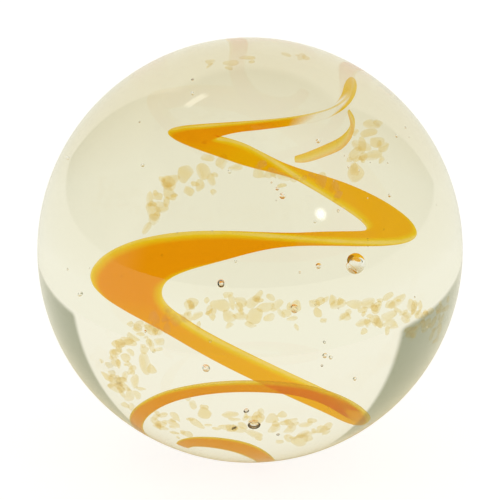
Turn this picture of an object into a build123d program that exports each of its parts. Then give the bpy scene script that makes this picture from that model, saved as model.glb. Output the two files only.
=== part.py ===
from build123d import *
import math
import os
import random

# A clear glass marble with a translucent orange ribbon wound through it, a thin yellow wisp beside
# the ribbon's start, crumbs of cream glass round its core, and air bubbles. Millimetres, +Z up,
# origin at the centre of the ball. The glass was fused hot, so every inlay fills its own hollow.

# The ball, and the core that the colours were laid in before the last clear gather
ball_diameter = 25.0
clear_cover = 0.9
core_radius = ball_diameter / 2 - clear_cover

# The stations below are drawn on a core of this radius, and grow or shrink with the real core
drawn_core_radius = 11.6
core_scale = core_radius / drawn_core_radius

# The core came to rest leaning: to its right, and away from the front
lean_right = 10.0
lean_back = 26.0
core_shift = 0.4

# The ribbon winds downwards from its thin start, front first. Each station gives its turn in
# degrees, the radius and height of the ribbon's middle, its width as a share of the widest,
# its bank in degrees, and its thickness as a share of the thickest.
ribbon_widest = 3.3
ribbon_thickest = 0.66
ribbon_stations = [
    (0, 2.5, 7.2, 0.48, 80, 0.85),
    (60, 3.0, 6.0, 0.67, 30, 0.24),
    (120, 3.5, 4.9, 0.73, 6, 0.52),
    (180, 3.4, 4.0, 0.61, -2, 0.67),
    (240, 2.6, 3.5, 0.39, -27, 0.61),
    (300, 3.6, 2.9, 0.55, 8, 0.64),
    (360, 5.1, 1.6, 0.67, 3, 0.76),
    (420, 5.7, 0.5, 0.94, -3, 0.94),
    (480, 5.6, -0.9, 1.00, 15, 1.00),
    (540, 5.1, -2.1, 0.94, 3, 0.97),
    (600, 4.4, -2.8, 0.45, 1, 0.83),
    (660, 5.1, -4.1, 0.27, -40, 0.79),
    (720, 5.7, -6.7, 0.61, -18, 0.76),
    (780, 6.0, -7.2, 0.42, 6, 0.73),
    (840, 4.9, -8.2, 0.27, 13, 0.70),
    (900, 4.5, -9.7, 0.24, 17, 0.67),
    (960, 4.2, -10.2, 0.24, 17, 0.64),
    (1020, 3.2, -10.6, 0.30, 19, 0.61),
    (1080, 2.1, -10.6, 0.33, 22, 0.58),
    (1140, 1.8, -10.3, 0.39, 28, 0.58),
    (1200, 1.8, -10.3, 0.33, 25, 0.52),
    (1260, 2.0, -10.4, 0.21, 15, 0.39),
]
ribbon_step = 20

# The wisp hangs from the ribbon's start and trails behind it: x, y, z and width
wisp_points = [
    (2.85, -1.95, 6.5, 0.24),
    (2.95, -1.2, 5.9, 0.44),
    (2.75, -0.3, 5.25, 0.50),
    (2.3, 0.6, 4.65, 0.50),
    (1.6, 1.4, 4.15, 0.44),
    (1.0, 1.95, 3.8, 0.36),
    (0.6, 2.3, 3.65, 0.24),
]
wisp_flatness = 0.45

# Crumbs of cream glass lie in drifts on the core: first and last turn angle, first and last
# height and level, all as shares of the core's radius, spread as the same share, how many, and
# the longest crumb
chip_drifts = [
    (10, 52, -0.20, -0.25, 0.91, 0.07, 30, 0.72),
    (52, 116, -0.26, -0.44, 0.91, 0.04, 28, 0.66),
    (116, 160, -0.48, -0.78, 0.91, 0.07, 34, 0.72),
    (66, 94, 0.29, 0.27, 0.88, 0.02, 6, 0.70),
    (236, 254, 0.08, 0.25, 0.62, 0.05, 14, 0.42),
    (284, 304, 0.26, 0.42, 0.60, 0.04, 10, 0.42),
    (20, 150, -0.80, -0.86, 0.91, 0.04, 30, 0.66),
    (75, 150, 0.84, 0.76, 0.91, 0.05, 5, 0.60),
]
chip_level_spread = 0.03
chip_shortest = 0.55
chip_clearance = 0.03
chip_seed = 11

# Air bubbles: x, y, z on the core, and the bubble's own radius
bubbles = [
    (4.6, -4.4, -0.3, 0.50),
    (2.3, -5.9, -3.1, 0.24),
    (-1.4, -4.4, -6.5, 0.21),
    (1.4, -3.4, -9.1, 0.34),
    (0.9, -4.1, -8.5, 0.16),
    (-1.4, -8.5, -2.9, 0.22),
    (0.8, -6.5, 2.1, 0.16),
    (0.5, -6.5, 2.4, 0.10),
    (1.9, -4.3, 5.0, 0.11),
    (3.1, -6.2, -0.9, 0.15),
    (3.7, -2.0, -4.3, 0.13),
    (5.1, -0.7, -4.9, 0.10),
    (2.7, -2.7, -9.4, 0.09),
    (5.7, -4.0, 3.2, 0.09),
]

lean = Rot(-lean_back, 0, 0) * Rot(0, lean_right, 0)
core_place = Pos(core_shift * core_scale, 0, 0) * lean


def smooth(stations, angle, column):
    """Catmull-Rom value of one column of the stations at a turn angle."""
    last = len(stations) - 1
    i = max(k for k in range(last) if stations[k][0] <= angle)
    around = [stations[min(max(i + k, 0), last)][column] for k in (-1, 0, 1, 2)]
    t = (angle - stations[i][0]) / (stations[i + 1][0] - stations[i][0])
    a, b, c, d = around
    slope = (c - a) / 2
    next_slope = (d - b) / 2
    rise = c - b
    return b + t * (slope + t * (3 * rise - 2 * slope - next_slope + t * (slope + next_slope - 2 * rise)))


def turned(radius, angle, height):
    """A point on the core: clockwise from its right, as seen from above."""
    turn = math.radians(angle)
    return Vector(radius * math.cos(turn), -radius * math.sin(turn), height)


def ribbon_middle(angle):
    """The middle of the ribbon at a turn angle."""
    return turned(smooth(ribbon_stations, angle, 1), angle, smooth(ribbon_stations, angle, 2)) * core_scale


def ribbon_outward(angle):
    """The direction across the ribbon, from its inner edge to its outer edge."""
    bank = math.radians(smooth(ribbon_stations, angle, 4))
    return turned(math.cos(bank), angle, math.sin(bank))


def lens(middle, across, run, width, thickness):
    """A cross-section between two arcs that meet at its thin edges."""
    square_run = run - across * run.dot(across)
    section_plane = Plane(origin=middle, x_dir=across, z_dir=square_run)
    half_width = width / 2
    under = ThreePointArc((-half_width, 0), (0, -thickness / 2), (half_width, 0))
    over = ThreePointArc((half_width, 0), (0, thickness / 2), (-half_width, 0))
    return make_face(section_plane * (Curve() + [under, over]))


def flat_lens(middle, across, run, width, thickness):
    """The same with flat faces, for a piece too thin to be worth arcs."""
    square_run = run - across * run.dot(across)
    section_plane = Plane(origin=middle, x_dir=across, z_dir=square_run)
    edge = width / 2
    shoulder = width / 4
    top = thickness / 2
    outline = [(-edge, 0), (-shoulder, -top), (shoulder, -top), (edge, 0), (shoulder, top), (-shoulder, top)]
    return make_face(section_plane * Polyline(*outline, close=True))


def ribbon_section(angle):
    """The ribbon's cross-section at a turn angle."""
    first = ribbon_stations[0][0]
    last = ribbon_stations[-1][0]
    run = ribbon_middle(min(angle + 1, last)) - ribbon_middle(max(angle - 1, first))
    width = smooth(ribbon_stations, angle, 3) * ribbon_widest * core_scale
    thickness = smooth(ribbon_stations, angle, 5) * ribbon_thickest * core_scale
    return lens(ribbon_middle(angle), ribbon_outward(angle), run, width, thickness)


def make_ribbon():
    """The whole ribbon, lofted through its sections."""
    first = ribbon_stations[0][0]
    last = ribbon_stations[-1][0]
    return loft([ribbon_section(angle) for angle in range(first, last + 1, ribbon_step)])


def make_wisp():
    """The thin yellow trail, lofted along its points."""
    middles = [Vector(x, y, z) * core_scale for x, y, z, width in wisp_points]
    sections = []
    for i, middle in enumerate(middles):
        run = middles[min(i + 1, len(middles) - 1)] - middles[max(i - 1, 0)]
        width = wisp_points[i][3] * core_scale
        across = (Vector(0, 0, 1) - run.normalized() * run.normalized().Z).normalized()
        sections.append(flat_lens(middle, across, run, width, width * wisp_flatness))
    return loft(sections)


def ribbon_reach():
    """Points spread over the ribbon and the wisp, each with how far the glass there reaches."""
    points = []
    for angle in range(ribbon_stations[0][0], ribbon_stations[-1][0] + 1, 5):
        half_width = smooth(ribbon_stations, angle, 3) * ribbon_widest * core_scale / 2
        half_thickness = smooth(ribbon_stations, angle, 5) * ribbon_thickest * core_scale / 2
        for share in (-1, -0.75, -0.5, -0.25, 0, 0.25, 0.5, 0.75, 1):
            point = ribbon_middle(angle) + ribbon_outward(angle) * (half_width * share)
            points.append((point, half_thickness))
    for x, y, z, width in wisp_points:
        points.append((Vector(x, y, z) * core_scale, width * core_scale))
    return points


def make_bubbles():
    """The air bubbles, as balls to be cut from the clear glass."""
    return [Pos(Vector(x, y, z) * core_scale) * Sphere(radius) for x, y, z, radius in bubbles]


def make_chips():
    """Every crumb of cream glass, each clear of the ribbon, the bubbles and the other crumbs."""
    dice = random.Random(chip_seed)
    taken = ribbon_reach()
    taken += [(Vector(x, y, z) * core_scale, radius) for x, y, z, radius in bubbles]
    chips = []
    for angle_1, angle_2, height_1, height_2, drift_level, spread, count, largest in chip_drifts:
        placed = 0
        for attempt in range(count * 12):
            t = dice.random()
            height = height_1 + (height_2 - height_1) * t + dice.uniform(-spread, spread)
            level = drift_level + dice.uniform(-chip_level_spread, chip_level_spread)
            longest = largest * dice.uniform(chip_shortest, 1)
            tilt = Rot(dice.uniform(0, 360), dice.uniform(0, 360), dice.uniform(0, 360))
            if abs(height) >= level:
                continue
            radius = math.sqrt(level ** 2 - height ** 2) * core_radius
            centre = turned(radius, angle_1 + (angle_2 - angle_1) * t, height * core_radius)
            reach = longest * 0.6
            near = [p for p, r in taken if (p - centre).length < r + reach + chip_clearance]
            if near:
                continue
            taken.append((centre, reach))
            length = longest
            depth = longest * dice.uniform(0.5, 0.7)
            height = longest * dice.uniform(0.35, 0.55)
            crumb = Wedge(length, height, depth, length * 0.25, depth * 0.1, length * 0.8, depth * 0.7)
            chips.append(Pos(centre) * tilt * crumb)
            placed += 1
            if placed == count:
                break
    return chips


def main():
    """Build every piece, lean the core, and write one file per piece."""
    os.makedirs("parts", exist_ok=True)
    ribbon = core_place * make_ribbon()
    wisp = core_place * make_wisp()
    chips = [core_place * chip for chip in make_chips()]
    holes = [core_place * bubble for bubble in make_bubbles()]
    glass = Sphere(ball_diameter / 2) - [ribbon, wisp] - chips - holes
    export_step(glass, "parts/clear_glass.step")
    export_step(ribbon, "parts/orange_ribbon.step")
    export_step(wisp, "parts/yellow_wisp.step")
    export_step(Compound(children=chips), "parts/cream_chips.step")
    print("chips", len(chips), "ribbon mm3", round(ribbon.volume, 2), "glass mm3", round(glass.volume, 1))


main()
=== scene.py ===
import math
import random
import bpy
from mathutils import Matrix, Vector


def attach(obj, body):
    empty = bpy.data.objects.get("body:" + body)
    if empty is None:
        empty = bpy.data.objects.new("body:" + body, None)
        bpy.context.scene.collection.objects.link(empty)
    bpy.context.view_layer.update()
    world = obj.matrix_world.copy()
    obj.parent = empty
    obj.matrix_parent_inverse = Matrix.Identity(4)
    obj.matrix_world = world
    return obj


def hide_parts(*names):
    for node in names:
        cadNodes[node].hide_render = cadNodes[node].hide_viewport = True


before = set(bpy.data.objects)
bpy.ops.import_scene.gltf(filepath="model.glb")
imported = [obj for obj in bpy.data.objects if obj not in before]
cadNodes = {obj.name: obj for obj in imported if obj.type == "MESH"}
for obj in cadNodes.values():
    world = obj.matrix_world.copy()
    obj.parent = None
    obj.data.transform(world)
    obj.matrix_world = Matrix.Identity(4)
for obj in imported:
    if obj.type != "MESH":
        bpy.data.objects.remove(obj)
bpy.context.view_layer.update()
mm = 0.001
nearlySame = 1e-7  # corners of loose triangles closer than this are one
print("frame loaded")


# helpers

def hexColour(code, alpha=1.0):
    # sRGB hex to the linear colour that Blender's sockets take
    parts = [int(code[i:i + 2], 16) / 255 for i in (0, 2, 4)]
    linear = [c / 12.92 if c <= 0.04045 else ((c + 0.055) / 1.055) ** 2.4 for c in parts]
    return (*linear, alpha)


def addNode(tree, kind, settings=None, inputs=None, links=None):
    # one node with its settings, its fixed inputs and what is linked into it
    node = tree.nodes.new(kind)
    for name, value in (settings or {}).items():
        setattr(node, name, value)
    for name, value in (inputs or {}).items():
        node.inputs[name].default_value = value
    for name, source in (links or {}).items():
        tree.links.new(source, node.inputs[name])
    return node


def newMaterial(name):
    # an empty node material with only its output
    material = bpy.data.materials.new(name)
    material.use_nodes = True
    material.node_tree.nodes.clear()
    return material, addNode(material.node_tree, "ShaderNodeOutputMaterial")


def fillRamp(node, stops):
    # colour stops on a ramp node
    ramp = node.color_ramp
    while len(ramp.elements) > 1:
        ramp.elements.remove(ramp.elements[-1])
    ramp.elements[0].position = stops[0][0]
    ramp.elements[0].color = stops[0][1]
    for position, colour in stops[1:]:
        ramp.elements.new(position).color = colour
    return node


def onlySelect(piece):
    bpy.ops.object.select_all(action="DESELECT")
    piece.select_set(True)
    bpy.context.view_layer.objects.active = piece


def applyAll(piece):
    # every modifier made real, in order
    onlySelect(piece)
    for modifier in list(piece.modifiers):
        bpy.ops.object.modifier_apply(modifier=modifier.name)


def joinAll(pieces, name):
    # several meshes made one piece
    bpy.ops.object.select_all(action="DESELECT")
    for piece in pieces:
        piece.select_set(True)
    bpy.context.view_layer.objects.active = pieces[0]
    bpy.ops.object.join()
    pieces[0].name = name
    return pieces[0]


def settle(piece):
    # its place goes into its mesh, so its object sits at the origin
    onlySelect(piece)
    bpy.ops.object.transform_apply(location=True, rotation=True, scale=True)


def looseParts(node):
    # the separate shells of a CAD node: centre and mean reach of each, largest first
    mesh = cadNodes[node].data
    spots = [tuple(round(c / nearlySame) for c in vertex.co) for vertex in mesh.vertices]
    joined = {spot: spot for spot in spots}

    def rootOf(spot):
        while joined[spot] != spot:
            joined[spot] = joined[joined[spot]]
            spot = joined[spot]
        return spot

    for face in mesh.polygons:
        first = rootOf(spots[face.vertices[0]])
        for corner in face.vertices[1:]:
            joined[rootOf(spots[corner])] = first
    shells = {}
    for spot in joined:
        shells.setdefault(rootOf(spot), []).append(Vector(spot) * nearlySame)
    parts = []
    for found in shells.values():
        centre = sum(found, Vector()) / len(found)
        reach = sum((p - centre).length for p in found) / len(found)
        spread = max((p - centre).length for p in found) / reach
        parts.append((centre, reach, spread))
    return sorted(parts, key=lambda part: -part[1])


def fixedShare(tree, share):
    # one share over the whole piece
    node = addNode(tree, "ShaderNodeValue")
    node.outputs[0].default_value = share
    return node.outputs[0]


def letThrough(tree, skin, colour, cover, share):
    # glass that lets a share of the light straight through, tinted once on its way in
    through = addNode(tree, "ShaderNodeBsdfTransparent", None, None, {"Color": colour})
    clear = addNode(tree, "ShaderNodeBsdfTransparent")
    passed = addNode(tree, "ShaderNodeMixShader", None, None, {
        0: cover, 1: clear.outputs[0], 2: through.outputs[0]})
    front = addNode(tree, "ShaderNodeMixShader", None, None, {
        0: share, 1: skin.outputs[0], 2: passed.outputs[0]})
    side = addNode(tree, "ShaderNodeNewGeometry")
    return addNode(tree, "ShaderNodeMixShader", None, None, {
        0: side.outputs["Backfacing"], 1: front.outputs[0], 2: clear.outputs[0]})


# the core leans as in the frame, and everything wound into it is placed through this
core = {
    "radius": 11.6 * mm,
    "leanRight": 10.0,
    "leanBack": 26.0,
    "shift": 0.4 * mm,
}
corePlace = (
    Matrix.Translation((core["shift"], 0, 0))
    @ Matrix.Rotation(math.radians(-core["leanBack"]), 4, "X")
    @ Matrix.Rotation(math.radians(core["leanRight"]), 4, "Y")
)


def turned(radius, angle, height):
    # clockwise from the core's right, as seen from above
    turn = math.radians(angle)
    return Vector((radius * math.cos(turn), -radius * math.sin(turn), height))


def smooth(stations, at, column):
    # Catmull-Rom value of one column of the stations
    last = len(stations) - 1
    i = max(k for k in range(last) if stations[k][0] <= at)
    a, b, c, d = [stations[min(max(i + k, 0), last)][column] for k in (-1, 0, 1, 2)]
    t = (at - stations[i][0]) / (stations[i + 1][0] - stations[i][0])
    slope = (c - a) / 2
    nextSlope = (d - b) / 2
    rise = c - b
    return b + t * (slope + t * (3 * rise - 2 * slope - nextSlope + t * (slope + nextSlope - 2 * rise)))


# clear ball: fire-polished soda-lime glass with its air bubbles as true hollows

ball = {
    "radius": 12.49 * mm,
    "subdivisions": 6,
    "waveSize": 9.0 * mm,
    "waveHeight": 0.012 * mm,
    "bubbleSubdivisions": 3,
    "bubbleSqueeze": (0.82, 1.0),
    "roundEnough": 1.1,
    "seedCount": 46,
    "seedRadius": (0.03 * mm, 0.075 * mm),
    "seedSqueeze": (0.6, 1.0),
    "seedSubdivisions": 2,
    "seedSeed": 5,
}


def makeBubble(centre, radius, subdivisions, squeeze, turn):
    # an air bubble: a ball turned inside out, so that the glass is outside it
    bpy.ops.object.select_all(action="DESELECT")
    bpy.ops.mesh.primitive_ico_sphere_add(subdivisions=subdivisions, radius=radius, location=centre)
    bubble = bpy.context.object
    bubble.scale = (1.0, 1.0, squeeze)
    bubble.rotation_euler = turn
    settle(bubble)
    bpy.ops.object.mode_set(mode="EDIT")
    bpy.ops.mesh.select_all(action="SELECT")
    bpy.ops.mesh.flip_normals()
    bpy.ops.object.mode_set(mode="OBJECT")
    return bubble


def makeBall():
    dice = random.Random(ball["seedSeed"])
    bpy.ops.object.select_all(action="DESELECT")
    bpy.ops.mesh.primitive_ico_sphere_add(subdivisions=ball["subdivisions"], radius=ball["radius"])
    shell = bpy.context.object
    waves = bpy.data.textures.new("meltWaves", "CLOUDS")
    waves.noise_scale = ball["waveSize"]
    waves.noise_depth = 0
    ripple = shell.modifiers.new("ripple", "DISPLACE")
    ripple.texture = waves
    ripple.texture_coords = "LOCAL"
    ripple.strength = ball["waveHeight"]
    ripple.mid_level = 1.0
    applyAll(shell)
    parts = [shell]
    for centre, reach, spread in looseParts("clear_glass")[1:]:
        if spread < ball["roundEnough"]:  # round hollows are bubbles, and the rest hold the coloured glass
            turn = [dice.uniform(0, 3.1) for axis in "xyz"]
            squeeze = dice.uniform(*ball["bubbleSqueeze"])
            parts.append(makeBubble(centre, reach, ball["bubbleSubdivisions"], squeeze, turn))
    for k in range(ball["seedCount"]):  # seeds: pin-prick bubbles left from the melt
        height = dice.uniform(-0.7, 0.8)
        angle = dice.uniform(0, 360)
        level = dice.uniform(0.35, 0.85)
        reach = level * core["radius"]
        spot = turned(math.sqrt(1 - height ** 2) * reach, angle, height * reach)
        turn = [dice.uniform(0, 3.1) for axis in "xyz"]
        radius = dice.uniform(*ball["seedRadius"])
        squeeze = dice.uniform(*ball["seedSqueeze"])
        parts.append(makeBubble(corePlace @ spot, radius, ball["seedSubdivisions"], squeeze, turn))
    piece = joinAll(parts, "clearBall")
    bpy.ops.object.shade_smooth()
    return piece


# clear soda-lime glass: sharp reflections, and a faint straw tint that the iron in the melt gives
def clearGlass():
    material, out = newMaterial("clearSodaLimeGlass")
    tree = material.node_tree
    skin = addNode(tree, "ShaderNodeBsdfPrincipled", None, {
        "Base Color": (1, 1, 1, 1), "Roughness": 0.0, "IOR": 1.5, "Transmission Weight": 1.0})
    tint = addNode(tree, "ShaderNodeVolumeAbsorption", None, {"Color": hexColour("EFECC8"), "Density": 21.0})
    tree.links.new(skin.outputs[0], out.inputs["Surface"])
    tree.links.new(tint.outputs[0], out.inputs["Volume"])
    return material


clearBall = makeBall()
clearBall.data.materials.clear()
clearBall.data.materials.append(clearGlass())
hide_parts("clear_glass")
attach(clearBall, "root")
print("clear ball made")


# orange ribbon: one flat band of art glass, wound downwards from its thin start
# each station: turn in degrees, radius, height and width in mm, bank in degrees, thickness in mm

ribbon = {
    "stations": [
        (0, 2.5, 7.2, 1.60, 80, 0.56),
        (60, 3.0, 6.0, 2.20, 30, 0.16),
        (120, 3.5, 4.9, 2.40, 6, 0.34),
        (180, 3.4, 4.0, 2.00, -2, 0.44),
        (240, 2.6, 3.5, 1.30, -27, 0.40),
        (300, 3.6, 2.9, 1.80, 8, 0.42),
        (360, 5.1, 1.6, 2.20, 3, 0.50),
        (420, 5.7, 0.5, 3.10, -3, 0.62),
        (480, 5.6, -0.9, 3.30, 15, 0.66),
        (540, 5.1, -2.1, 3.10, 3, 0.64),
        (600, 4.4, -2.8, 1.50, 1, 0.55),
        (660, 5.1, -4.1, 0.90, -40, 0.52),
        (720, 5.7, -6.7, 2.00, -18, 0.50),
        (780, 6.0, -7.2, 1.40, 6, 0.48),
        (840, 4.9, -8.2, 0.90, 13, 0.46),
        (900, 4.5, -9.7, 0.80, 17, 0.44),
        (960, 4.2, -10.2, 0.80, 17, 0.42),
        (1020, 3.2, -10.6, 1.00, 19, 0.40),
        (1080, 2.1, -10.6, 1.10, 22, 0.38),
        (1140, 1.8, -10.3, 1.30, 28, 0.38),
        (1200, 1.8, -10.3, 1.10, 25, 0.34),
        (1260, 2.0, -10.4, 0.70, 15, 0.26),
    ],
    "seeThroughUpper": 0.76,
    "seeThroughLower": 0.52,
    "lengthCuts": 520,
    "widthCuts": 14,
}


def ribbonPoint(along, across):
    # the middle surface of the ribbon, across from -1 at its inner edge to 1 at its outer edge
    stations = ribbon["stations"]
    angle = along * stations[-1][0]
    radius, height, width, bank = [smooth(stations, angle, k) for k in (1, 2, 3, 4)]
    middle = turned(radius * mm, angle, height * mm)
    lean = math.radians(bank)
    return middle + turned(math.cos(lean), angle, math.sin(lean)) * (width * mm / 2 * across)


def wovenStrip(name, lengthCuts, widthCuts, place, thickness):
    # a grid laid along a path, given a lens-shaped wall that thins to its edges
    bpy.ops.object.select_all(action="DESELECT")
    bpy.ops.mesh.primitive_grid_add(x_subdivisions=lengthCuts, y_subdivisions=widthCuts, size=2)
    strip = bpy.context.object
    strip.name = name
    alongs = []
    acrosses = []
    wall = strip.vertex_groups.new(name="wall")
    thickest = max(thickness(k / 100) for k in range(101))
    for vertex in strip.data.vertices:
        along = min(max((vertex.co.x + 1) / 2, 0), 1)
        across = math.sin(vertex.co.y * math.pi / 2)  # rows crowd towards the thin edges
        alongs.append(along)
        acrosses.append(across)
        share = math.sqrt(max(1 - across ** 2, 0)) * thickness(along) / thickest
        wall.add([vertex.index], max(share, 0.02), "REPLACE")
        vertex.co = corePlace @ place(along, across)
    for kind, values in (("along", alongs), ("across", acrosses)):
        strip.data.attributes.new(kind, "FLOAT", "POINT").data.foreach_set("value", values)
    solid = strip.modifiers.new("wall", "SOLIDIFY")
    solid.thickness = thickest
    solid.offset = 0
    solid.vertex_group = "wall"
    solid.use_rim = True
    applyAll(strip)
    bpy.ops.object.mode_set(mode="EDIT")
    bpy.ops.mesh.select_all(action="SELECT")
    bpy.ops.mesh.normals_make_consistent(inside=False)
    bpy.ops.object.mode_set(mode="OBJECT")
    bpy.ops.object.shade_smooth()
    return strip


# translucent orange art glass: deep orange where it is thick, yellow and clearer at its thin edges, with
# painted light and shade along its length: lighter on the turns at the back, deep orange on the turns at the
# front
def orangeGlass():
    material, out = newMaterial("orangeArtGlass")
    tree = material.node_tree
    along = addNode(tree, "ShaderNodeAttribute", {"attribute_name": "along"})
    across = addNode(tree, "ShaderNodeAttribute", {"attribute_name": "across"})
    edge = addNode(tree, "ShaderNodeMath", {"operation": "ABSOLUTE"}, None, {0: across.outputs["Fac"]})
    place = addNode(tree, "ShaderNodeTexCoord")
    streaks = addNode(tree, "ShaderNodeTexNoise", None, {"Scale": 1 / (2.2 * mm), "Detail": 3.0}, {
        "Vector": place.outputs["Object"]})
    wander = addNode(tree, "ShaderNodeMath", {"operation": "MULTIPLY_ADD"}, {1: 0.16, 2: -0.08}, {
        0: streaks.outputs["Fac"]})
    rim = addNode(tree, "ShaderNodeMath", {"operation": "ADD"}, None, {
        0: edge.outputs[0], 1: wander.outputs[0]})
    # painted light and shade along the ribbon: the turns at the back are lighter yellow-orange as if lit,
    # the turns at the front and the lower turns deep orange as if in shade; the pale yellow start is the
    # thin glass's own colour
    alongTintAndPaintedShade = fillRamp(addNode(tree, "ShaderNodeValToRGB", None, None, {"Fac": along.outputs["Fac"]}), [
        (0.00, hexColour("FFDE10")),
        (0.05, hexColour("FFD400")),
        (0.08, hexColour("FFA800")),
        (0.145, hexColour("FFAC00")),
        (0.19, hexColour("FFC200")),
        (0.33, hexColour("FFBE00")),
        (0.355, hexColour("FFA800")),
        (0.44, hexColour("FFA600")),
        (0.49, hexColour("FFBE00")),
        (0.55, hexColour("FFBC00")),
        (0.59, hexColour("FFAC00")),
        (0.72, hexColour("FFA800")),
        (1.00, hexColour("FFAC00")),
    ])
    yellow = fillRamp(addNode(tree, "ShaderNodeValToRGB", None, None, {"Fac": rim.outputs[0]}), [
        (0.72, (0, 0, 0, 1)),
        (0.97, (1, 1, 1, 1)),
    ])
    colour = addNode(tree, "ShaderNodeMix", {"data_type": "RGBA"}, {"B": hexColour("FFDC20")}, {
        "Factor": yellow.outputs["Color"], "A": alongTintAndPaintedShade.outputs["Color"]})
    # how much the glass covers: the start is a clear film with two fine lines at its edges
    film = fillRamp(addNode(tree, "ShaderNodeValToRGB", None, None, {"Fac": along.outputs["Fac"]}), [
        (0.022, (1, 1, 1, 1)),
        (0.030, (0, 0, 0, 1)),
        (0.050, (0, 0, 0, 1)),
        (0.066, (1, 1, 1, 1)),
    ])
    line = fillRamp(addNode(tree, "ShaderNodeValToRGB", None, None, {"Fac": edge.outputs[0]}), [
        (0.84, (0.03, 0.03, 0.03, 1)),
        (0.96, (0.6, 0.6, 0.6, 1)),
    ])
    thin = fillRamp(addNode(tree, "ShaderNodeValToRGB", None, None, {"Fac": rim.outputs[0]}), [
        (0.94, (1, 1, 1, 1)),
        (1.00, (0.85, 0.85, 0.85, 1)),
    ])
    cover = addNode(tree, "ShaderNodeMix", {"data_type": "RGBA"}, None, {
        "Factor": film.outputs["Color"], "A": line.outputs["Color"], "B": thin.outputs["Color"]})
    skin = addNode(tree, "ShaderNodeBsdfPrincipled", None, {
        "Roughness": 0.5, "IOR": 1.5, "Specular IOR Level": 0.0}, {
        "Base Color": colour.outputs["Result"], "Alpha": cover.outputs["Result"]})
    # the lower turns are denser
    share = fillRamp(addNode(tree, "ShaderNodeValToRGB", None, None, {"Fac": along.outputs["Fac"]}), [
        (0.53, (*[ribbon["seeThroughUpper"]] * 3, 1)),
        (0.57, (*[ribbon["seeThroughLower"]] * 3, 1)),
    ])
    body = letThrough(
        tree, skin, colour.outputs["Result"], cover.outputs["Result"], share.outputs["Color"])
    tree.links.new(body.outputs[0], out.inputs["Surface"])
    return material


def ribbonWall(along):
    stations = ribbon["stations"]
    return smooth(stations, along * stations[-1][0], 5) * mm


orangeRibbon = wovenStrip(
    "orangeRibbon", ribbon["lengthCuts"], ribbon["widthCuts"], ribbonPoint, ribbonWall)
orangeRibbon.data.materials.append(orangeGlass())
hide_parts("orange_ribbon")
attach(orangeRibbon, "root")
print("orange ribbon made")


# yellow wisp: a thin trail that hangs from the ribbon's start; x, y, z and width in mm

wisp = {
    "points": [
        (0, 2.85, -1.95, 6.5, 0.24),
        (1, 2.95, -1.2, 5.9, 0.44),
        (2, 2.75, -0.3, 5.25, 0.50),
        (3, 2.3, 0.6, 4.65, 0.50),
        (4, 1.6, 1.4, 4.15, 0.44),
        (5, 1.0, 1.95, 3.8, 0.36),
        (6, 0.6, 2.3, 3.65, 0.24),
    ],
    "flatness": 0.45,
    "seeThrough": 0.75,
    "lengthCuts": 90,
    "widthCuts": 8,
}


def wispPoint(along, across):
    points = wisp["points"]
    at = along * points[-1][0]
    middle, ahead, behind = [
        Vector([smooth(points, min(max(at + step, 0), points[-1][0] - 1e-6), k) for k in (1, 2, 3)])
        for step in (0, 0.05, -0.05)]
    run = (ahead - behind).normalized()
    up = (Vector((0, 0, 1)) - run * run.z).normalized()
    width = smooth(points, min(at, points[-1][0] - 1e-6), 4)
    return (middle + up * (width / 2 * across)) * mm


def wispWall(along):
    points = wisp["points"]
    return smooth(points, min(along * points[-1][0], points[-1][0] - 1e-6), 4) * wisp["flatness"] * mm


# thin yellow glass: half clear in its middle, with denser fine edges
def yellowGlass():
    material, out = newMaterial("thinYellowGlass")
    tree = material.node_tree
    across = addNode(tree, "ShaderNodeAttribute", {"attribute_name": "across"})
    tone = addNode(tree, "ShaderNodeMapRange", None, {
        "From Min": -1.0, "From Max": 1.0}, {"Value": across.outputs["Fac"]})
    colour = fillRamp(addNode(tree, "ShaderNodeValToRGB", None, None, {"Fac": tone.outputs[0]}), [
        (0.0, hexColour("FFC800")),
        (0.35, hexColour("FFDE1E")),
        (0.7, hexColour("FFD814")),
        (1.0, hexColour("FFC800")),
    ])
    cover = fillRamp(addNode(tree, "ShaderNodeValToRGB", None, None, {"Fac": tone.outputs[0]}), [
        (0.0, (0.8, 0.8, 0.8, 1)),
        (0.2, (0.7, 0.7, 0.7, 1)),
        (0.6, (0.9, 0.9, 0.9, 1)),
        (1.0, (0.9, 0.9, 0.9, 1)),
    ])
    skin = addNode(tree, "ShaderNodeBsdfPrincipled", None, {
        "Roughness": 0.5, "IOR": 1.5, "Specular IOR Level": 0.0}, {
        "Base Color": colour.outputs["Color"], "Alpha": cover.outputs["Color"]})
    share = fixedShare(tree, wisp["seeThrough"])
    body = letThrough(tree, skin, colour.outputs["Color"], cover.outputs["Color"], share)
    tree.links.new(body.outputs[0], out.inputs["Surface"])
    return material


yellowWisp = wovenStrip("yellowWisp", wisp["lengthCuts"], wisp["widthCuts"], wispPoint, wispWall)
yellowWisp.data.materials.append(yellowGlass())
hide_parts("yellow_wisp")
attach(yellowWisp, "root")
print("yellow wisp made")


# cream crumbs: crushed cream glass whose corners melted soft, one at each crumb of the frame
# and a smaller one strayed beside it

crumbs = {
    "shapes": 7,
    "seed": 3,
    "flatness": 0.6,
    "seeThrough": 0.82,
    "grow": 1.75,
    "companions": 1,
    "stray": 0.55 * mm,
}


def makeCrumbShape(dice, number):
    # one melted crumb of unit reach
    bpy.ops.object.select_all(action="DESELECT")
    bpy.ops.mesh.primitive_ico_sphere_add(subdivisions=3, radius=1.0)
    crumb = bpy.context.object
    crumb.name = "crumbShape%d" % number
    flats = [Vector([dice.gauss(0, 1) for axis in "xyz"]).normalized() for k in range(9)]
    depths = [dice.uniform(0.45, 0.8) for flat in flats]
    for vertex in crumb.data.vertices:
        for flat, depth in zip(flats, depths):  # broken faces, pressed back to flat
            over = vertex.co.dot(flat) - depth
            if over > 0:
                vertex.co -= flat * over * 0.92
    soften = crumb.modifiers.new("melt", "SMOOTH")
    soften.factor = 0.5
    soften.iterations = 3
    applyAll(crumb)
    return crumb


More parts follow.
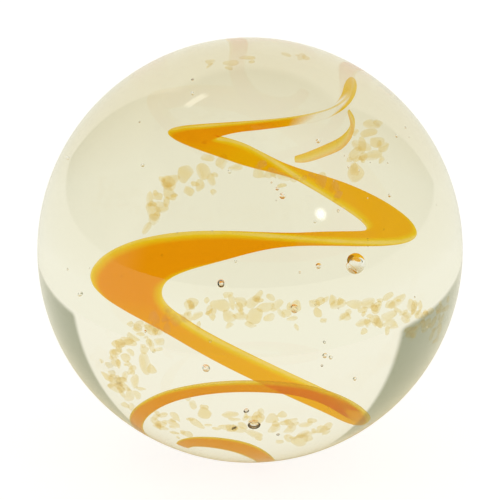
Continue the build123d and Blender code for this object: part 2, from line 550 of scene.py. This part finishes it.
def makeCrumbs():
    dice = random.Random(crumbs["seed"])
    shapes = [makeCrumbShape(dice, k) for k in range(crumbs["shapes"])]
    copies = []
    for centre, reach, spread in looseParts("cream_chips"):
        for number in range(1 + crumbs["companions"]):  # the first at its place, the rest strayed from it
            crumb = shapes[dice.randrange(len(shapes))].copy()
            crumb.data = crumb.data.copy()
            bpy.context.scene.collection.objects.link(crumb)
            size = reach * crumbs["grow"] * (1.0 if number == 0 else dice.uniform(0.5, 0.8))
            turn = Matrix.Rotation(dice.uniform(0, 6.3), 4, Vector([dice.gauss(0, 1) for axis in "xyz"]))
            length = size * dice.uniform(0.9, 1.2)
            width = size * dice.uniform(0.7, 1.0)
            stretch = Matrix.Diagonal((length, width, size * crumbs["flatness"], 1))
            aside = Vector([dice.gauss(0, 1) for axis in "xyz"]).normalized()
            strayed = centre + aside * crumbs["stray"] * min(number, 1)
            spot = strayed.normalized() * centre.length
            crumb.data.transform(Matrix.Translation(spot) @ turn @ stretch)
            copies.append(crumb)
    for shape in shapes:
        bpy.data.objects.remove(shape)
    piece = joinAll(copies, "creamCrumbs")
    bpy.ops.object.shade_smooth()
    return piece


# cream glass crumbs: pale straw, half see-through, and melting away at their edges
def creamGlass():
    material, out = newMaterial("creamGlassFrit")
    tree = material.node_tree
    place = addNode(tree, "ShaderNodeTexCoord")
    grain = addNode(tree, "ShaderNodeTexNoise", None, {"Scale": 1 / (1.4 * mm), "Detail": 2.0}, {
        "Vector": place.outputs["Object"]})
    colour = fillRamp(addNode(tree, "ShaderNodeValToRGB", None, None, {"Fac": grain.outputs["Fac"]}), [
        (0.35, hexColour("FCEAB2")),
        (0.65, hexColour("FFF3CC")),
    ])
    facing = addNode(tree, "ShaderNodeLayerWeight", None, {"Blend": 0.35})
    cover = fillRamp(addNode(tree, "ShaderNodeValToRGB", None, None, {"Fac": facing.outputs["Facing"]}), [
        (0.0, (0.8, 0.8, 0.8, 1)),
        (0.75, (0.25, 0.25, 0.25, 1)),
    ])
    skin = addNode(tree, "ShaderNodeBsdfPrincipled", None, {
        "Roughness": 0.5, "IOR": 1.5, "Specular IOR Level": 0.0}, {
        "Base Color": colour.outputs["Color"], "Alpha": cover.outputs["Color"]})
    share = fixedShare(tree, crumbs["seeThrough"])
    body = letThrough(tree, skin, colour.outputs["Color"], cover.outputs["Color"], share)
    tree.links.new(body.outputs[0], out.inputs["Surface"])
    return material


creamCrumbs = makeCrumbs()
creamCrumbs.data.materials.clear()
creamCrumbs.data.materials.append(creamGlass())
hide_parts("cream_chips")
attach(creamCrumbs, "root")
print("cream crumbs made")


# studio: a pale floor, a pale room all round with two darker sides, and one soft lamp

studio = {
    "cameraUp": 20.0,
    "cameraDistance": 250.0 * mm,
    "ballShare": 0.4262,
    "sensor": 36.0,
    "floorSize": 3.0,
    "lampDistance": 0.6,
    "lampSize": 0.09,
    "lampPower": 0.24,
}


def makeCamera():
    # the ball's outline spans the given share of the picture's width on each side of its centre
    up = math.radians(studio["cameraUp"])
    away = studio["cameraDistance"]
    spot = Vector((0, -math.cos(up), math.sin(up))) * away
    outline = math.tan(math.asin(12.5 * mm / away))
    data = bpy.data.cameras.new("bench")
    data.sensor_width = studio["sensor"]
    data.lens = studio["sensor"] * studio["ballShare"] / outline
    data.clip_start = 0.01
    camera = bpy.data.objects.new("bench", data)
    bpy.context.scene.collection.objects.link(camera)
    camera.location = spot
    camera.rotation_euler = (-spot).to_track_quat("-Z", "Y").to_euler()
    bpy.context.scene.camera = camera


def makeFloor():
    bpy.ops.object.select_all(action="DESELECT")
    bpy.ops.mesh.primitive_circle_add(
        vertices=64, radius=studio["floorSize"], fill_type="NGON", location=(0, 0, -12.5 * mm))
    floor = bpy.context.object
    floor.name = "floor"
    settle(floor)
    material, out = newMaterial("palePaper")
    tree = material.node_tree
    rays = addNode(tree, "ShaderNodeLightPath")
    mirrored = addNode(tree, "ShaderNodeMath", {"operation": "MAXIMUM"}, None, {
        0: rays.outputs["Is Glossy Ray"], 1: rays.outputs["Is Transmission Ray"]})
    looked = addNode(tree, "ShaderNodeMath", {"operation": "MAXIMUM"}, None, {
        0: rays.outputs["Is Camera Ray"], 1: mirrored.outputs[0]})
    paper = addNode(tree, "ShaderNodeBsdfDiffuse", None, {"Color": hexColour("E4E0D2")})
    dim = addNode(tree, "ShaderNodeBsdfDiffuse", None, {"Color": hexColour("9C9A94")})
    where = addNode(tree, "ShaderNodeNewGeometry")
    away = addNode(tree, "ShaderNodeVectorMath", {"operation": "LENGTH"}, None, {
        0: where.outputs["Position"]})
    # painted shadow: seen through the glass or in reflections, the floor is painted darker beige near the
    # ball, fading out by 60 mm from its centre
    reach = addNode(tree, "ShaderNodeMapRange", None, {"From Min": 14 * mm, "From Max": 60 * mm}, {
        "Value": away.outputs["Value"]})
    paintedShadowNearBall = fillRamp(addNode(tree, "ShaderNodeValToRGB", None, None, {"Fac": reach.outputs[0]}), [
        (0.0, hexColour("CDBE92")),
        (0.3, hexColour("E2E0D2")),
        (1.0, hexColour("E9E9E2")),
    ])
    tone = addNode(tree, "ShaderNodeMix", {"data_type": "RGBA"}, {"A": (1, 1, 1, 1)}, {
        "Factor": mirrored.outputs[0], "B": paintedShadowNearBall.outputs["Color"]})
    lift = addNode(tree, "ShaderNodeEmission", None, {"Strength": 0.82}, {"Color": tone.outputs["Result"]})
    seen = addNode(tree, "ShaderNodeAddShader", None, None, {0: dim.outputs[0], 1: lift.outputs[0]})
    both = addNode(tree, "ShaderNodeMixShader", None, None, {
        0: looked.outputs[0], 1: paper.outputs[0], 2: seen.outputs[0]})
    tree.links.new(both.outputs[0], out.inputs["Surface"])
    floor.data.materials.append(material)


def makeLamp():
    # one small soft lamp, high at the front right, leaves the round highlight
    light = bpy.data.lights.new("softLamp", "AREA")
    light.shape = "DISK"
    light.size = studio["lampSize"]
    light.energy = studio["lampPower"]
    light.use_nodes = True
    tree = light.node_tree
    tree.nodes.clear()
    across = addNode(tree, "ShaderNodeNewGeometry")
    apart = addNode(tree, "ShaderNodeVectorMath", {"operation": "DISTANCE"}, {1: (0.5, 0.5, 0.0)}, {
        0: across.outputs["Parametric"]})
    fade = addNode(tree, "ShaderNodeMapRange", {"interpolation_type": "SMOOTHSTEP"}, {
        "From Min": 0.5, "From Max": 0.05}, {"Value": apart.outputs["Value"]})
    shine = addNode(tree, "ShaderNodeEmission", None, None, {"Strength": fade.outputs[0]})
    addNode(tree, "ShaderNodeOutputLight", None, None, {0: shine.outputs[0]})
    lamp = bpy.data.objects.new("softLamp", light)
    bpy.context.scene.collection.objects.link(lamp)
    toward = Vector((0.60, -0.59, 0.54)).normalized()
    lamp.location = toward * studio["lampDistance"]
    lamp.rotation_euler = (-toward).to_track_quat("-Z", "Y").to_euler()


room = {
    "sideMiddle": 5.0,
    "sheetEdge": (38.5, 41.5),
    "darkEnd": (118, 96),
    "floorLine": (0, 2),
    "darkTop": (58, 42),
    # painted reflection: the window and the darker near side and ceiling below are shown only in reflections
    # off the outer skin
    "windowStart": (78, 100),
    "windowEnd": (155, 151),
    "windowFoot": (-4, 12),
    "paintedWindowGlow": 0.3,
    "nearSide": (95, 125),
    "ceiling": (40, 50),
    "paintedMirrorShade": -0.93,
    # painted reflection: a streak overhead, shown only in reflections
    "tubeToward": (-0.34, 0.40, 0.85),
    "tubeHalfLength": 0.10,
    "tubeHalfWidth": 0.045,
    "paintedStreakGlow": 3.0,
}


def makeRoom():
    # the room by direction: pale all round, dark past the sides of the white sheet
    world = bpy.data.worlds.new("room")
    bpy.context.scene.world = world
    world.use_nodes = True
    tree = world.node_tree
    tree.nodes.clear()
    out = addNode(tree, "ShaderNodeOutputWorld")
    rays = addNode(tree, "ShaderNodeLightPath")
    toward = addNode(tree, "ShaderNodeTexCoord")
    axes = addNode(tree, "ShaderNodeSeparateXYZ", None, None, {0: toward.outputs["Generated"]})
    level = addNode(tree, "ShaderNodeMath", {"operation": "ARCSINE"}, None, {0: axes.outputs["Z"]})
    side = addNode(tree, "ShaderNodeMath", {"operation": "ARCTAN2"}, None, {
        0: axes.outputs["X"], 1: axes.outputs["Y"]})
    sideMiddle = math.radians(room["sideMiddle"])
    shifted = addNode(tree, "ShaderNodeMath", {"operation": "SUBTRACT"}, {1: sideMiddle}, {
        0: side.outputs[0]})
    apart = addNode(tree, "ShaderNodeMath", {"operation": "ABSOLUTE"}, None, {0: shifted.outputs[0]})

    def band(source, low, high):
        return addNode(tree, "ShaderNodeMapRange", {"interpolation_type": "SMOOTHSTEP"}, {
            "From Min": math.radians(low), "From Max": math.radians(high)}, {"Value": source})

    edges = [
        band(apart.outputs[0], *room["sheetEdge"]),
        band(apart.outputs[0], *room["darkEnd"]),
        band(level.outputs[0], *room["floorLine"]),
        band(level.outputs[0], *room["darkTop"]),
    ]
    dark = edges[0]
    for edge in edges[1:]:
        dark = addNode(tree, "ShaderNodeMath", {"operation": "MULTIPLY"}, None, {
            0: dark.outputs[0], 1: edge.outputs[0]})
    walls = addNode(tree, "ShaderNodeMix", {"data_type": "RGBA"}, {
        "A": hexColour("FBF9F0"), "B": hexColour("999D87")}, {"Factor": dark.outputs[0]})
    # a painted window, seen only in reflections off the outer skin
    frontSide = band(side.outputs[0], *room["windowStart"])
    frontLow = band(level.outputs[0], *room["windowFoot"])
    frontEnd = band(side.outputs[0], *room["windowEnd"])
    window = addNode(tree, "ShaderNodeMath", {"operation": "MULTIPLY"}, None, {
        0: frontSide.outputs[0], 1: frontLow.outputs[0]})
    cut = addNode(tree, "ShaderNodeMath", {"operation": "MULTIPLY"}, None, {
        0: window.outputs[0], 1: frontEnd.outputs[0]})
    # what the outer skin mirrors, painted for reflections only: painted shade on the near side and ceiling,
    # and a painted soft window that lights nothing
    turnedTo = addNode(tree, "ShaderNodeMath", {"operation": "ABSOLUTE"}, None, {0: side.outputs[0]})
    nearSide = band(turnedTo.outputs[0], *room["nearSide"])
    high = band(level.outputs[0], *room["ceiling"])
    unlit = addNode(tree, "ShaderNodeMath", {"operation": "MAXIMUM"}, None, {
        0: nearSide.outputs[0], 1: high.outputs[0]})
    shade = addNode(tree, "ShaderNodeMath", {"operation": "MULTIPLY_ADD"}, {1: room["paintedMirrorShade"], 2: 1.0}, {
        0: unlit.outputs[0]})
    paintedReflection = addNode(tree, "ShaderNodeMath", {"operation": "MULTIPLY_ADD"}, {1: room["paintedWindowGlow"]}, {
        0: cut.outputs[0], 2: shade.outputs[0]})
    # painted reflection: a soft streak overhead, as from a long tube lamp, that shows only in reflections
    # off the outer skin and lights nothing
    tubeAt = Vector(room["tubeToward"]).normalized()
    tubeAlong = Vector((0.9, 0.44, 0.0)).cross(tubeAt).cross(tubeAt).normalized()
    tubeAcross = tubeAlong.cross(tubeAt)
    long = addNode(tree, "ShaderNodeVectorMath", {"operation": "DOT_PRODUCT"}, {1: tubeAlong}, {
        0: toward.outputs["Generated"]})
    short = addNode(tree, "ShaderNodeVectorMath", {"operation": "DOT_PRODUCT"}, {1: tubeAcross}, {
        0: toward.outputs["Generated"]})
    paintedStreak = high
    for offset, half in ((long, room["tubeHalfLength"]), (short, room["tubeHalfWidth"])):
        size = addNode(tree, "ShaderNodeMath", {"operation": "ABSOLUTE"}, None, {0: offset.outputs["Value"]})
        near = addNode(tree, "ShaderNodeMapRange", {"interpolation_type": "SMOOTHSTEP"}, {
            "From Min": half, "From Max": half * 0.5}, {"Value": size.outputs[0]})
        paintedStreak = addNode(tree, "ShaderNodeMath", {"operation": "MULTIPLY"}, None, {
            0: paintedStreak.outputs[0], 1: near.outputs[0]})
    mirrored = addNode(tree, "ShaderNodeMath", {"operation": "MULTIPLY_ADD"}, {1: room["paintedStreakGlow"]}, {
        0: paintedStreak.outputs[0], 2: paintedReflection.outputs[0]})
    # a ray that passed through clear glass counts as glossy too, so those are taken out
    outside = addNode(tree, "ShaderNodeMath", {"operation": "SUBTRACT", "use_clamp": True}, None, {
        0: rays.outputs["Is Glossy Ray"], 1: rays.outputs["Is Transmission Ray"]})
    bright = addNode(tree, "ShaderNodeMix", {"data_type": "FLOAT"}, {"A": 1.0}, {
        "Factor": outside.outputs[0], "B": mirrored.outputs[0]})
    strength = addNode(tree, "ShaderNodeMix", {"data_type": "FLOAT"}, {"B": 1.0}, {
        "Factor": rays.outputs["Is Camera Ray"], "A": bright.outputs["Result"]})
    colour = addNode(tree, "ShaderNodeMix", {"data_type": "RGBA"}, {"B": (1, 1, 1, 1)}, {
        "Factor": rays.outputs["Is Camera Ray"], "A": walls.outputs["Result"]})
    glow = addNode(tree, "ShaderNodeBackground", None, None, {
        "Color": colour.outputs["Result"], "Strength": strength.outputs["Result"]})
    tree.links.new(glow.outputs[0], out.inputs["Surface"])


makeCamera()
makeFloor()
makeLamp()
makeRoom()
bpy.context.scene.view_settings.view_transform = "Standard"
print("studio made")
